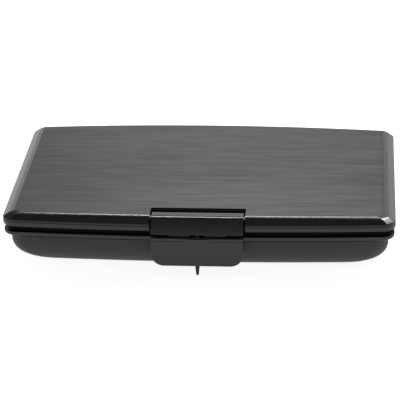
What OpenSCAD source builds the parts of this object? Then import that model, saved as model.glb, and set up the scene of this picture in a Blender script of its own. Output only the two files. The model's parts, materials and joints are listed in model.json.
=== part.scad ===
// Closed chip rack: a seven-row chip tray in a flat latched case with a hinged metal-faced lid.
// +X is to the right, the latch faces -Y, +Z is up, and the rubber feet stand on Z = 0.

/* [Case] */
// Width of the case over its rims
case_w = 330; // [315:1:345]
// Depth of the case at its corners, over its rims
case_d = 216; // [214:1:222]
// How far the long front and rear sides bow outward at the middle
side_bow = 6.6; // [4:0.2:8]
// Plan radius of the rims' corners
rim_r = 12; // [10:1:14]

/* [Heights] */
// Height of the rubber feet
foot_h = 3; // [3:0.5:4]
// Radius of the tub's rounded lower edge
tub_r = 22; // [20:1:24]
// Underside of the tub's rim
rim_low = 31.7; // [31:0.1:32.5]
// Top of the tub's rim
rim_high = 35.4; // [35:0.1:35.8]
// Underside of the lid's rim
lid_low = 40.2; // [40:0.1:41]
// Underside of the metal plate's edge
plate_low = 46.5; // [46.2:0.1:47]
// Top of the metal plate at its middle
plate_top = 52; // [51.8:0.1:52.6]
// How far the plate's top falls away towards its left and right ends
plate_crown = 1.2; // [0.4:0.1:1.4]

/* [Chip rows] */
// Number of rows
rows = 7; // [5:1:7]
// Distance from one row to the next
row_pitch = 43; // [42.5:0.1:43.4]
// Radius of a row's round bed, for chips 39 mm across
row_r = 20.25; // [20:0.05:20.4]
// Length of a row, for fifty chips
row_len = 168; // [165:1:169]

/* [Latch] */
// Width of the latch flap and of the pad under it
latch_w = 77; // [70:1:84]
// Height of the pad's lower edge
pad_low = 10.9; // [10.2:0.1:12]
// Height of the pad's upper edge
pad_high = 35.6; // [35:0.1:35.8]
// Height of the flap's lower edge
flap_low = 38.7; // [38.5:0.1:38.8]

/* [Hidden] */

$fn = 48;
e = 0.01;                 // overlap that keeps two faces from being coplanar
cut = 1;                  // how far a cutter runs past the face it opens

case_colour = "#3a3a3a";
rim_colour = "#333334";
metal_colour = "#646262";
gloss_colour = "#1f1f21";
rubber_colour = "#101010";
tray_colour = "#2c2c2e";
steel_colour = "#a8a8a6";
foam_colour = "#26272a";

boss_r = 3.2;             // radius of the bosses that screws go into

// Tub
wall = 2.4;               // wall of the tub
tub_in = 5.6;             // how far the tub's wall stands in from the lid's rim
tub_corner = 15;          // plan radius of the tub's upright corners
tub_corner_low = 30;      // the same at the tub's floor
tub_steps = 8;            // rings that draw the rounded lower edge
rim_in = 0.8;             // how far the tub's rim stands in from the lid's rim
rim_ring = 8;             // inner edge of both rims, from the lid's rim
rim_chamfer = 2.4;        // rounding under the tub's rim

// Seal
seal_out = 4.5;
seal_in = 7;
seal_root = 34;
seal_top = 39.9;

// Lid
lid_wall = 3.2;
lid_step = 44.5;          // where the lid's hollow steps in under the plate's bevel
lid_ceiling = 48.2;
lid_hollow = 9.5;         // inset of the upper hollow
bevel_x = 7.7;            // width of the plate's bevels at its left and right ends
bevel_y = 5.9;            // width of its front and rear bevels
plate_t = 1.2;
plate_edge = 0.3;         // inset of the plate's lower edge from the rim
clip_low = [7, 9];        // 45 degree clips of the plate's front and rear corners at its lower edge
clip_top = [5, 1.5];      // the same at its flat top
clip_air = [0.3, 0.3];    // how much smaller those clips are inside the plate
line_z = 44.3;            // height of the fine line round the lid's rim
line_size = 0.8;          // width of that line and of the one across the pad
line_deep = 0.5;

// Rows
floor_air = 0.1;          // free height between the rows and the tub's floor
bed_t = 1;                // thickness under the beds
row_centre_z = foot_h + wall + floor_air + bed_t + row_r;
row_top = row_centre_z + 3.2;
row_front = -row_len / 2; // front end of the rows
end_t = 2;                // thickness of the end plates
tray_air = 0.3;           // free width between the tray and the tub's wall
row_x = [for (i = [0:rows - 1]) (i - (rows - 1) / 2) * row_pitch];
block_w = rows * row_pitch;
deck_low = 28.6;
deck_high = 30.2;
deck_screw_x = 153.6;
deck_screw_y = 66;
deck_boss_h = 12;         // from the lower end of a deck screw's boss to the deck's top

// Feet
foot_r = 6.5;
foot_x = 2.5 * row_pitch;
foot_y = 66;
boss_top = 10;            // top of the bosses that hold the foot screws
foot_edge = 0.8;          // height of the bevel round a foot's lower edge
foot_seat_r = 3.2;        // radius of the recess for a foot screw's head
foot_seat_z = 1.6;        // height of that recess

// Latch
half_latch = latch_w / 2;
front = case_d / 2 + side_bow;       // distance from the origin to the rims at the middle
latch_y = front + 4;                 // the pad's face
flap_y = front + 3.7;                // the flap's face at its lower edge
flap_t = 1.8;
notch_gap = 1.5;                     // free width at each side of the flap
notch_back = 91;                     // rear edge of the notch in the plate
pocket_wall = 2.5;
flap_axis_y = 101.2;
flap_axis_z = 47.4;
barrel_r = 3;
flap_pin_r = 1.25;
pad_t = 3.1;
pad_corner = 10.7;
tongue_front = front + 0.2;          // front face of the keeper tongue
tongue_t = 0.9;
tongue_top = 41.2;
tongue_x = [6.5, 24];                // inner and outer end of each half of the tongue
window_x = [9, 20];                  // inner and outer end of each window in it
window_z = [38.9, 40.4];
pin_y = front - 0.2;                 // the lock pin's axis
pin_r = 1.3;
spike_r = 2.1;
spike_tip_r = 1.15;
spike_tip_z = 2.05;
bush_h = 2.88;                       // height of the bush pressed into the pad's lower edge
bush_r = 2.68;
collar_r = 2.6;                      // the lock pin's collar, which the pad's chamber holds
collar_t = 1;
collar_z = pad_low + 3.2;
chamber_r = 2.7;
chamber_h = 11;
pin_top = pad_high + 0.6;
standoff_x = [25, 37];
standoff_z = [18, 28];
standoff_in = 5;                     // how far the pad's mountings reach in from the tub's outer face
wall_y = front - tub_in;             // outer face of the tub's wall at the middle

// Hinges
hinge_x = 95;
leaf_w = 36;
leaf_t = 1.6;
barrel_hinge_r = 3.4;
hinge_y = latch_y - barrel_hinge_r;
hinge_z = (rim_high + lid_low) / 2;
leaf_front = 103.8;
knuckle = leaf_w / 3;
hinge_pin_r = 1.3;
running = 0.06;                      // radial clearance of a pin in a knuckle that turns on it
knuckle_air = 0.35;                  // free radius round a knuckle that turns
screw_r = 1.2;
screw_fit = 0.05;                    // radial clearance of a screw in its hole
head_r = 2.3;
head_h = 1.2;
leaf_boss_low = 25;                  // lower end of the bosses under the hinges' base leaves
leaf_boss_r = 2.7;
leaf_screw_x = 12;
leaf_screw_y = 107.5;

// ---- outlines ----

// Height of the bowed long side above the X axis at x, moved in by inset.
function bow(x, inset) = case_d / 2 + side_bow * (1 - pow(2 * x / case_w, 2)) - inset;

function reversed(points) = [for (i = [len(points) - 1:-1:0]) points[i]];

// The stretch of bowed side between two corners, from x = reach to x = -reach, without its ends.
function bow_points(reach, inset, n) =
    [for (i = [1:n - 1]) let (x = reach * (1 - 2 * i / n)) [x, bow(x, inset)]];

// A corner's points from the case's side round to its bowed front or rear.
function round_corner(ix, iy, r, n) =
    let (cx = case_w / 2 - ix - r,
         lean = atan(8 * side_bow * cx / pow(case_w, 2)),
         px = cx + r * sin(lean),
         cy = bow(px, iy) - r * cos(lean))
    [for (i = [0:n]) let (a = i * (90 - lean) / n) [cx + r * cos(a), cy + r * sin(a)]];

function clip_corner(ix, iy, clip) =
    let (x = case_w / 2 - ix,
         y = bow(x - clip, iy))
    [[x, y - clip], [x - clip, y]];

// The rear half of an outline: a corner, the bowed side and the corner's mirror image.
function half_outline(corner, reach, iy, n) =
    concat(corner, bow_points(reach, iy, n), [for (p = reversed(corner)) [-p[0], p[1]]]);

// A closed outline from its front and rear corners, both given as they stand at the right rear.
function outline(front_corner, rear_corner, iy, n) =
    let (last = len(rear_corner) - 1,
         reach = min(front_corner[last][0], rear_corner[last][0]))
    concat(half_outline(rear_corner, reach, iy, n),
           [for (p = reversed(half_outline(front_corner, reach, iy, n))) [p[0], -p[1]]]);

function round_outline(inset, r) =
    let (corner = round_corner(inset, inset, r, 7))
    outline(corner, corner, inset, 14);

function rim_outline(inset, r = rim_r) = round_outline(inset, max(r - inset, 2));

// clips holds the size of the front and of the rear corners' clips.
function plate_outline(ix, iy, clips) =
    outline(clip_corner(ix, iy, clips[0]), clip_corner(ix, iy, clips[1]), iy, 16);

// An outline raised to z, falling away towards the left and right ends by crown.
function lifted(points, z, crown = 0) =
    [for (p = points) [p[0], p[1], z - crown * pow(2 * p[0] / case_w, 2)]];

// ---- shared solids ----

// A closed solid through rings that all have the same number of points.
module loft(rings) {
    n = len(rings[0]);
    top = (len(rings) - 1) * n;
    strips = n / 2 - 2;
    polyhedron(
        points = [for (ring = rings) for (p = ring) p],
        faces = concat(
            [for (k = [0:len(rings) - 2]) for (i = [0:n - 1])
                [k * n + i, (k + 1) * n + i, (k + 1) * n + (i + 1) % n, k * n + (i + 1) % n]],
            [for (i = [0:strips]) [i, i + 1, n - 2 - i, n - 1 - i]],
            [for (i = [0:strips]) [top + n - 1 - i, top + n - 2 - i, top + i + 1, top + i]]));
}

// A plate between two heights with a given plan outline.
module slab(points, low, high) {
    translate([0, 0, low]) linear_extrude(high - low) polygon(points);
}

module box(x, y, z) {
    translate([x[0], y[0], z[0]]) cube([x[1] - x[0], y[1] - y[0], z[1] - z[0]]);
}

// A cylinder along X, centred on x.
module rod_x(x, y, z, r, length) {
    translate([x, y, z]) rotate([0, 90, 0]) cylinder(r = r, h = length, center = true);
}

module both_sides() {
    children();
    mirror([1, 0, 0]) children();
}

// A countersunk screw whose head's top is at the origin and whose shank runs down.
module countersunk(length) {
    translate([0, 0, -head_h]) cylinder(r1 = screw_r, r2 = head_r, h = head_h);
    translate([0, 0, -length]) cylinder(r = screw_r, h = length);
}

// The seat that a countersunk screw leaves in what it holds.
module countersink(length) {
    translate([0, 0, -head_h]) cylinder(r1 = screw_r + screw_fit, r2 = head_r + screw_fit, h = head_h + e);
    translate([0, 0, -length]) screw_hole(length + cut);
}

module screw_hole(length) {
    cylinder(r = screw_r + screw_fit, h = length);
}

module at_deck_screws() {
    for (x = [-1, 1]) for (y = [-1, 1])
        translate([x * deck_screw_x, y * deck_screw_y, deck_high]) children();
}

module at_feet() {
    for (x = [-1, 1]) for (y = [-1, 1]) translate([x * foot_x, y * foot_y, 0]) children();
}

module at_hinges() {
    for (side = [-1, 1]) translate([side * hinge_x, 0, 0]) children();
}

module at_leaf_screws(z) {
    for (side = [-1, 1]) translate([side * leaf_screw_x, leaf_screw_y, z]) children();
}

// ---- base ----

// The tub's outer form, or its hollow when inset by the wall.
module tub_form(t, low, high) {
    r = tub_r - t;
    loft(concat(
        [for (i = [0:tub_steps])
            let (a = i * 90 / tub_steps,
                 inset = tub_in + t + r * (1 - sin(a)),
                 corner = tub_corner + (tub_corner_low - tub_corner) * (1 - sin(a)))
            lifted(round_outline(inset, corner), low + r * (1 - cos(a)))],
        [lifted(round_outline(tub_in + t, tub_corner), high)]));
}

// The room that the chip tray may fill inside the tub.
module tray_room() {
    tub_form(wall + tray_air, foot_h + wall + floor_air, rim_high);
}

module base_shell() {
    color(case_colour) difference() {
        union() {
            difference() {
                tub_form(0, foot_h, rim_low);
                tub_form(wall, foot_h + wall, rim_low + cut);
            }
            at_feet() translate([0, 0, foot_h + e]) cylinder(r = boss_r, h = boss_top - foot_h);
            at_deck_screws() translate([0, 0, -deck_boss_h])
                cylinder(r = boss_r - 0.1, h = deck_boss_h - (deck_high - deck_low));
            at_hinges() at_leaf_screws(leaf_boss_low) cylinder(r = leaf_boss_r, h = rim_low - leaf_boss_low);
            both_sides() box(standoff_x, [-wall_y - 0.1, -wall_y + standoff_in], standoff_z);
        }
        at_feet() translate([0, 0, foot_h - cut]) screw_hole(boss_top - foot_h - 0.6 + cut);
        at_deck_screws() translate([0, 0, -deck_boss_h]) screw_hole(deck_boss_h + cut);
        at_hinges() at_leaf_screws(leaf_boss_low + 1) screw_hole(rim_high - leaf_boss_low);
        both_sides() pad_screw_hole();
    }
}

module base_rim() {
    ring = [[rim_low, rim_chamfer], [rim_low + 0.35, 1.5], [rim_low + 1, 1], [rim_low + 1.9, rim_in],
            [rim_high - 0.4, rim_in], [rim_high, rim_in + 0.35]];
    color(rim_colour) difference() {
        loft([for (level = ring) lifted(rim_outline(level[1]), level[0])]);
        slab(rim_outline(rim_ring, 20), rim_low - cut, rim_high + cut);
        difference() {
            slab(rim_outline(seal_out), seal_root, rim_high + cut);
            slab(rim_outline(seal_in), seal_root - cut, rim_high + 2 * cut);
        }
        at_hinges() leaf_recess([rim_high - leaf_t, rim_high + cut]);
        at_hinges() rod_x(0, hinge_y, hinge_z, barrel_hinge_r + knuckle_air, leaf_w + 1);
        at_hinges() at_leaf_screws(rim_low - cut) screw_hole(rim_high - rim_low + cut);
        translate([0, -pin_y, rim_low - cut]) cylinder(r = boss_r - 0.2, h = rim_high - rim_low + 2 * cut);
    }
}

// The room that a hinge leaf takes out of a rim.
module leaf_recess(z) {
    box([-leaf_w / 2 - 0.1, leaf_w / 2 + 0.1], [leaf_front - 0.1, latch_y + cut], z);
}

module rim_seal() {
    color(rubber_colour) difference() {
        slab(rim_outline(seal_out + 0.05), seal_root, seal_top);
        slab(rim_outline(seal_in - 0.05), seal_root - cut, seal_top + cut);
        at_hinges() box([-leaf_w / 2 - 1, leaf_w / 2 + 1], [90, latch_y], [seal_root - cut, seal_top + cut]);
    }
}

// ---- chip tray ----

module tray_deck() {
    row_rear = row_front + row_len;
    color(tray_colour) difference() {
        slab(round_outline(tub_in + wall + tray_air, tub_corner), deck_low, deck_high);
        box([-block_w / 2 - 0.2, block_w / 2 + 0.2],
            [row_front - end_t - 0.2, row_rear + end_t + 0.2], [deck_low - cut, deck_high + cut]);
        at_deck_screws() countersink(4);
    }
}

module deck_screws() {
    color(steel_colour) at_deck_screws() countersunk(11);
}

// A row's outline across its length, from its centre: a round bed with upright sides.
module row_section(r) {
    intersection() {
        circle(r = r);
        translate([-r, -r]) square([2 * r, r + e]);
    }
    translate([-r, 0]) square([2 * r, row_top - row_centre_z]);
}

// Turns a section drawn across the rows so that it runs back from y by length.
module along_rows(y, length) {
    translate([0, y + length, row_centre_z]) rotate([90, 0, 0]) linear_extrude(length) children();
}

module chip_row(i) {
    color(tray_colour) difference() {
        intersection() {
            translate([row_x[i], 0, 0]) along_rows(row_front, row_len) row_section(row_pitch / 2 - 0.02);
            tray_room();
        }
        translate([row_x[i], 0, 0]) along_rows(row_front - cut, row_len + 2 * cut) {
            circle(r = row_r, $fn = 96);
            translate([-row_r, 0]) square([2 * row_r, row_pitch]);
        }
    }
}

module row_end(y) {
    color(tray_colour) intersection() {
        along_rows(y, end_t) for (x = row_x) translate([x, 0]) row_section(row_pitch / 2 + e);
        tray_room();
    }
}

module row_end_front() {
    row_end(row_front - end_t);
}

module row_end_rear() {
    row_end(row_front + row_len);
}

// ---- feet ----

module feet() {
    color(rubber_colour) at_feet() difference() {
        union() {
            cylinder(r1 = foot_r - 0.6, r2 = foot_r, h = foot_edge);
            translate([0, 0, foot_edge]) cylinder(r = foot_r, h = foot_h - foot_edge);
        }
        translate([0, 0, -cut]) cylinder(r = foot_seat_r, h = cut + foot_seat_z);
        screw_hole(foot_h + cut);
    }
}

module foot_screws() {
    color(steel_colour) at_feet() {
        translate([0, 0, foot_seat_z - 1.1]) cylinder(r = 2.6, h = 1.1);
        translate([0, 0, foot_seat_z - e]) cylinder(r = screw_r, h = 7);
    }
}

// ---- hinges ----

// A leaf with its knuckles: spans lists each knuckle's middle and length along X.
module leaf(z, spans, gaps) {
    difference() {
        union() {
            box([-leaf_w / 2, leaf_w / 2], [leaf_front, hinge_y], z);
            for (s = spans) rod_x(s[0], hinge_y, hinge_z, barrel_hinge_r, s[1]);
        }
        for (s = gaps) rod_x(s[0], hinge_y, hinge_z, barrel_hinge_r + knuckle_air, s[1]);
        rod_x(0, hinge_y, hinge_z, hinge_pin_r + running, leaf_w + 2);
    }
}

outer_knuckles = [for (side = [-1, 1]) [side * (knuckle + 0.1), knuckle - 0.2]];
middle_knuckle = [[0, knuckle - 0.4]];

module base_leaf(side) {
    color(steel_colour) translate([side * hinge_x, 0, 0]) difference() {
        leaf([rim_high - leaf_t, rim_high], outer_knuckles, [[0, knuckle + 0.4]]);
        at_leaf_screws(rim_high) countersink(4);
    }
}

module lid_leaf(side) {
    ends = [for (end = [-1, 1]) [end * (knuckle + 2), knuckle + 4]];
    color(steel_colour) translate([side * hinge_x, 0, 0]) difference() {
        leaf([lid_low, lid_low + leaf_t], middle_knuckle, ends);
        at_leaf_screws(lid_low) mirror([0, 0, 1]) countersink(4);
    }
}

module hinge_pin(side) {
    color(steel_colour) rod_x(side * hinge_x, hinge_y, hinge_z, hinge_pin_r, leaf_w - 0.2);
}

module hinge_left_base_leaf() {
    base_leaf(-1);
}

module hinge_left_lid_leaf() {
    lid_leaf(-1);
}

module hinge_left_pin() {
    hinge_pin(-1);
}

module hinge_right_base_leaf() {
    base_leaf(1);
}

module hinge_right_lid_leaf() {
    lid_leaf(1);
}

module hinge_right_pin() {
    hinge_pin(1);
}

module hinge_screws_base() {
    color(steel_colour) at_hinges() at_leaf_screws(rim_high) countersunk(9);
}

module hinge_screws_lid() {
    color(steel_colour) at_hinges() at_leaf_screws(lid_low) mirror([0, 0, 1]) countersunk(5.5);
}

// ---- latch ----

module at_pad_screw() {
    middle = (standoff_x[0] + standoff_x[1]) / 2;
    height = (standoff_z[0] + standoff_z[1]) / 2;
    translate([middle, -wall_y + standoff_in, height]) rotate([90, 0, 0]) children();
}

module pad_screw_hole() {
    at_pad_screw() translate([0, 0, -cut]) screw_hole(10 + cut);
}

module pad_screws() {
    color(steel_colour) both_sides() at_pad_screw() {
        translate([0, 0, -1.4]) cylinder(r = 2.5, h = 1.4);
        translate([0, 0, -e]) cylinder(r = screw_r, h = 9.6);
    }
}

// The pad seen from the front: square upper corners and round lower ones.
module pad_face() {
    translate([-half_latch, pad_low + pad_corner]) square([latch_w, pad_high - pad_low - pad_corner]);
    translate([-half_latch + pad_corner, pad_low]) square([latch_w - 2 * pad_corner, pad_corner + 1]);
    for (side = [-1, 1])
        translate([side * (half_latch - pad_corner), pad_low + pad_corner]) circle(r = pad_corner);
}

module latch_pad() {
    scoop_w = 26;
    scoop_deep = 0.9;
    scoop_r = (pow(scoop_w / 2, 2) + pow(scoop_deep, 2)) / (2 * scoop_deep);
    line_low = 32.8;
    line_end = 9;
    color(case_colour) difference() {
        union() {
            translate([0, -latch_y + pad_t, 0]) rotate([90, 0, 0]) linear_extrude(pad_t) pad_face();
            both_sides() box(standoff_x, [-latch_y + pad_t - e, -wall_y - 0.1], standoff_z);
            both_sides() box(tongue_x, [-tongue_front, -tongue_front + tongue_t], [pad_high - 8, tongue_top]);
            both_sides() box(tongue_x, [-latch_y + 1, -tongue_front + 0.5], [pad_high - 8, pad_high - 3]);
            translate([0, -pin_y, pad_low]) cylinder(r = chamber_r + 0.9, h = chamber_h + 5);
            translate([0, -pin_y, pad_low]) cylinder(r = 2 * pin_r, h = pad_high - pad_low - 0.5);
        }
        translate([0, -latch_y - cut, pad_high - scoop_deep + scoop_r]) rotate([-90, 0, 0])
            cylinder(r = scoop_r, h = cut + 1.6, $fn = 240);
        both_sides() box([line_end, half_latch + cut], [-latch_y - cut, -latch_y + 0.3],
                         [line_low, line_low + line_size]);
        both_sides() box(window_x, [-tongue_front - cut, -tongue_front + tongue_t + cut], window_z);
        translate([0, -pin_y, pad_low - cut]) cylinder(r = bush_r + 0.02, h = cut + bush_h + 0.02);
        translate([0, -pin_y, pad_low + bush_h - 0.08]) cylinder(r = chamber_r, h = chamber_h);
        translate([0, -pin_y, pad_low]) cylinder(r = pin_r + running, h = pad_high - pad_low + cut);
        both_sides() pad_screw_hole();
    }
}

// Pressed into the pad's lower edge, under the pin's collar.
module lock_pin_bush() {
    color(steel_colour) translate([0, -pin_y, pad_low]) difference() {
        cylinder(r = bush_r, h = bush_h);
        translate([0, 0, -cut]) cylinder(r = spike_r + running, h = bush_h + 2 * cut);
    }
}

module lock_pin() {
    color(gloss_colour) translate([0, -pin_y, 0]) {
        translate([0, 0, spike_tip_z]) sphere(r = spike_tip_r);
        translate([0, 0, spike_tip_z]) cylinder(r1 = spike_tip_r, r2 = spike_r, h = pad_low - spike_tip_z);
        translate([0, 0, pad_low - e]) cylinder(r = spike_r, h = collar_z - pad_low + 2 * e);
        translate([0, 0, collar_z]) cylinder(r = collar_r, h = collar_t);
        translate([0, 0, collar_z]) cylinder(r = pin_r, h = pin_top - collar_z);
        translate([0, 0, pin_top]) intersection() {
            sphere(r = pin_r);
            cylinder(r = 2, h = 2);
        }
    }
}

function arc(y, z, r, from, to, n) =
    [for (i = [0:n]) let (a = from + (to - from) * i / n) [y + r * cos(a), z + r * sin(a)]];

// The flap's surface from its rear edge over the top and down to its lower edge, moved in by t.
// The face is one wide arc that leaves the rounded shoulder smoothly and ends at the lower edge.
function flap_path(t) =
    let (shoulder = [-108.5, 48.2],
         shoulder_r = 3.3,
         turn = 138,
         out = [cos(turn), sin(turn)],
         start = shoulder + shoulder_r * out,
         chord = [-flap_y, flap_low] - start,
         face_r = -chord * chord / (2 * chord * out),
         middle = start - face_r * out,
         last = turn + 2 * asin(norm(chord) / (2 * face_r)))
    concat(arc(-100.2, 48.7, 2.8 - t, 0, 90, 8),
           arc(shoulder[0], shoulder[1], shoulder_r - t, 90, turn, 5),
           arc(middle[0], middle[1], face_r - t, turn, last, 12));

module along_x(width) {
    rotate([90, 0, 90]) translate([0, 0, -width / 2]) linear_extrude(width) children();
}

module latch_flap() {
    spring_gap = 14;
    color(gloss_colour) difference() {
        union() {
            along_x(latch_w) polygon(concat(flap_path(0), reversed(flap_path(flap_t))));
            rod_x(0, -flap_axis_y, flap_axis_z, barrel_r, latch_w);
            box([-3.4, 3.4], [-pin_y - 1.8, -pin_y + 2.8], [flap_low, 42.9]);
            both_sides() box([window_x[0] + 0.5, window_x[1] - 0.5], [-flap_y + 1, -tongue_front + 0.6],
                             [window_z[0] + 0.4, window_z[1] - 0.4]);
        }
        box([-half_latch - cut, half_latch + cut], [-latch_y, -notch_back], [flap_low - 3, flap_low]);
        translate([0, -pin_y, flap_low - cut]) cylinder(r = pin_r + 0.3, h = cut + 3.5);
        rod_x(0, -flap_axis_y, flap_axis_z, flap_pin_r + running, latch_w + 2);
        box([-spring_gap / 2, spring_gap / 2], [-flap_axis_y - 4.5, -flap_axis_y + 4.6],
            [flap_axis_z - 5, flap_axis_z + 2.3]);
        box([-half_latch - cut, half_latch + cut], [-108.2, -107.1], [51, 53]);
    }
}

module flap_pin() {
    color(steel_colour) rod_x(0, -flap_axis_y, flap_axis_z, flap_pin_r, latch_w + 2 * notch_gap + 4);
}

// A closed tube of round wire along a list of points, each with its own pair of cross directions.
module wire(points, r, sides) {
    n = len(points);
    function tangent(i) = points[min(i + 1, n - 1)] - points[max(i - 1, 0)];
    function unit(v) = v / norm(v);
    function across(i) = unit(cross(tangent(i), [1, 0.02, 0.01]));
    ring = [for (i = [0:n - 1])
        let (u = across(i), v = unit(cross(tangent(i), u)))
        for (k = [0:sides - 1]) points[i] + r * (u * cos(360 * k / sides) + v * sin(360 * k / sides))];
    polyhedron(
        points = ring,
        faces = concat(
            [[for (k = [0:sides - 1]) k]],
            [for (i = [0:n - 2]) for (k = [0:sides - 1])
                [i * sides + k, (i + 1) * sides + k, (i + 1) * sides + (k + 1) % sides,
                 i * sides + (k + 1) % sides]],
            [[for (k = [sides - 1:-1:0]) (n - 1) * sides + k]]));
}

// Torsion spring round the flap's pin: a coil with one leg under the flap and one, bent down clear of the
// flap's swing, that runs back to the pocket's wall.
module flap_spring() {
    turns = 6.5;
    coil_r = 1.9;
    wire_r = 0.35;
    pitch = 1;
    steps = 12;
    width = turns * pitch;
    coil = [for (i = [0:turns * steps])
        let (a = 360 * i / steps)
        [-width / 2 + pitch * i / steps, -flap_axis_y + coil_r * sin(a), flap_axis_z + coil_r * cos(a)]];
    bend = [[-0.8, -2.2], [-1.1, -3], [-0.9, -4.2], [-0.2, -4.9], [0.8, -5.1], [7.8, -5.1]];
    leg = [for (p = bend) [width / 2, p[0] - flap_axis_y, p[1] + flap_axis_z]];
    first = [[-width / 2, -flap_axis_y - 4.1, flap_axis_z + coil_r]];
    color(steel_colour) wire(concat(first, coil, leg), wire_r, 8);
}

// ---- lid ----

module lid_cavity() {
    slab(rim_outline(lid_wall), lid_low - cut, lid_step);
    slab(rim_outline(lid_hollow, 14), lid_step - e, lid_ceiling);
}

// The frame's outer form: the rim, and under the plate a body that backs it.
module lid_form() {
    rim = [[lid_low, 0.35], [lid_low + 0.4, 0], [plate_low - 0.4, 0], [plate_low, plate_edge]];
    loft([for (level = rim) lifted(rim_outline(level[1]), level[0])]);
    loft([lifted(plate_outline(1.9, 1.9, clip_low - clip_air), plate_low - 0.5),
          lifted(plate_outline(bevel_x + 1.6, bevel_y + 1.6, clip_top - clip_air),
                 plate_top - plate_t - 0.15, plate_crown)]);
}

module lid_frame() {
    side = half_latch + notch_gap;
    color(rim_colour) difference() {
        union() {
            difference() {
                lid_form();
                lid_cavity();
            }
            intersection() {
                lid_form();
                box([-side - pocket_wall, side + pocket_wall], [-front + 2, -notch_back + 0.5],
                    [lid_low, lid_ceiling + 1]);
            }
            at_hinges() at_leaf_screws(lid_low + leaf_t) cylinder(r = boss_r, h = 4.2);
        }
        box([-side, side], [-latch_y - cut, -notch_back - 1.5], [lid_low - cut, plate_top + cut]);
        rod_x(0, -flap_axis_y, flap_axis_z, flap_pin_r + 0.02, 2 * side + 4.1);
        at_hinges() leaf_recess([lid_low - cut, lid_low + leaf_t]);
        at_hinges() rod_x(0, hinge_y, hinge_z, barrel_hinge_r + knuckle_air, leaf_w + 1);
        at_hinges() at_leaf_screws(lid_low) screw_hole(5.6);
        difference() {
            slab(rim_outline(-cut), line_z, line_z + line_size);
            slab(rim_outline(line_deep), line_z - cut, line_z + cut + line_size);
        }
    }
}

module lid_plate() {
    side = half_latch + notch_gap;
    color(metal_colour) difference() {
        loft([lifted(plate_outline(plate_edge, plate_edge, clip_low), plate_low),
              lifted(plate_outline(bevel_x, bevel_y, clip_top), plate_top, plate_crown)]);
        loft([lifted(plate_outline(plate_edge - 0.1, plate_edge - 0.1, clip_low - clip_air), plate_low - 1.1),
              lifted(plate_outline(bevel_x + 1.2, bevel_y + 1.2, clip_top), plate_top - plate_t, plate_crown)]);
        box([-side, side], [-latch_y - cut, -notch_back], [plate_low - cut, plate_top + cut]);
    }
}

module lid_pad() {
    foam_t = 2.5;
    inset = 12;
    color(foam_colour) difference() {
        slab(rim_outline(inset, 18), lid_ceiling - foam_t, lid_ceiling - 0.02);
        box([-half_latch - 8, half_latch + 8], [-latch_y, -notch_back + 4],
            [lid_ceiling - foam_t - cut, lid_ceiling + cut]);
    }
}

base_shell();
base_rim();
rim_seal();
tray_deck();
deck_screws();
chip_row(0);  // chip_row_1
chip_row(1);  // chip_row_2
chip_row(2);  // chip_row_3
chip_row(3);  // chip_row_4
chip_row(4);  // chip_row_5
chip_row(5);  // chip_row_6
chip_row(6);  // chip_row_7
row_end_front();
row_end_rear();
feet();
foot_screws();
hinge_left_base_leaf();
hinge_left_lid_leaf();
hinge_left_pin();
hinge_right_base_leaf();
hinge_right_lid_leaf();
hinge_right_pin();
hinge_screws_base();
hinge_screws_lid();
latch_pad();
pad_screws();
lock_pin();
lock_pin_bush();
latch_flap();
flap_pin();
flap_spring();
lid_frame();
lid_plate();
lid_pad();
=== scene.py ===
"""A closed chip rack: a brushed metal lid plate, black rims and tub, a two-part latch and a tray of rows with
round beds. Lengths are in metres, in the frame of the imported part: +X right, the latch faces -Y, +Z up."""

import json
import math

import bmesh
import bpy
from mathutils import Matrix, Vector


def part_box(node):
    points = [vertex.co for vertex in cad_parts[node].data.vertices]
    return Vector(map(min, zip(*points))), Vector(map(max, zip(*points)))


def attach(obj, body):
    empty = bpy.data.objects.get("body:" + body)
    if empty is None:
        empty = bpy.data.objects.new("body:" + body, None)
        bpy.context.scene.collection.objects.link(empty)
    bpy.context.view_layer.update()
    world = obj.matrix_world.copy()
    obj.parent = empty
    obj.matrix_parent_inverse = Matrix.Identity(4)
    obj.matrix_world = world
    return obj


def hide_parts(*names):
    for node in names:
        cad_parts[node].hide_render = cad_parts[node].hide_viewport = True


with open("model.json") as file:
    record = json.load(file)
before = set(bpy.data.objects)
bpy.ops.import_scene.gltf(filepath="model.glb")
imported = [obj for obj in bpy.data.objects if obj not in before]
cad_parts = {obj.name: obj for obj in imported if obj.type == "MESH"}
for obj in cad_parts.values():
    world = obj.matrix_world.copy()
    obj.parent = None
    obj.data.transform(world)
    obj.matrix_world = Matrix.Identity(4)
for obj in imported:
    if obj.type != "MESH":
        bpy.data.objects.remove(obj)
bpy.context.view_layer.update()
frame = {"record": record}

MM = 0.001


# ---- sizes taken from the frame ----

def low(node):
    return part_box(node)[0]


def high(node):
    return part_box(node)[1]


def middle(node):
    return (Vector(low(node)) + Vector(high(node))) / 2


# The plan outline, bowed at the front and rear.
HALF_W = high("lid_frame")[0]
FRONT = high("lid_frame")[1]
SIDE_BOW = 6.6 * MM
CORNER_Y = FRONT - SIDE_BOW
RIM_R = 12 * MM

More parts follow.
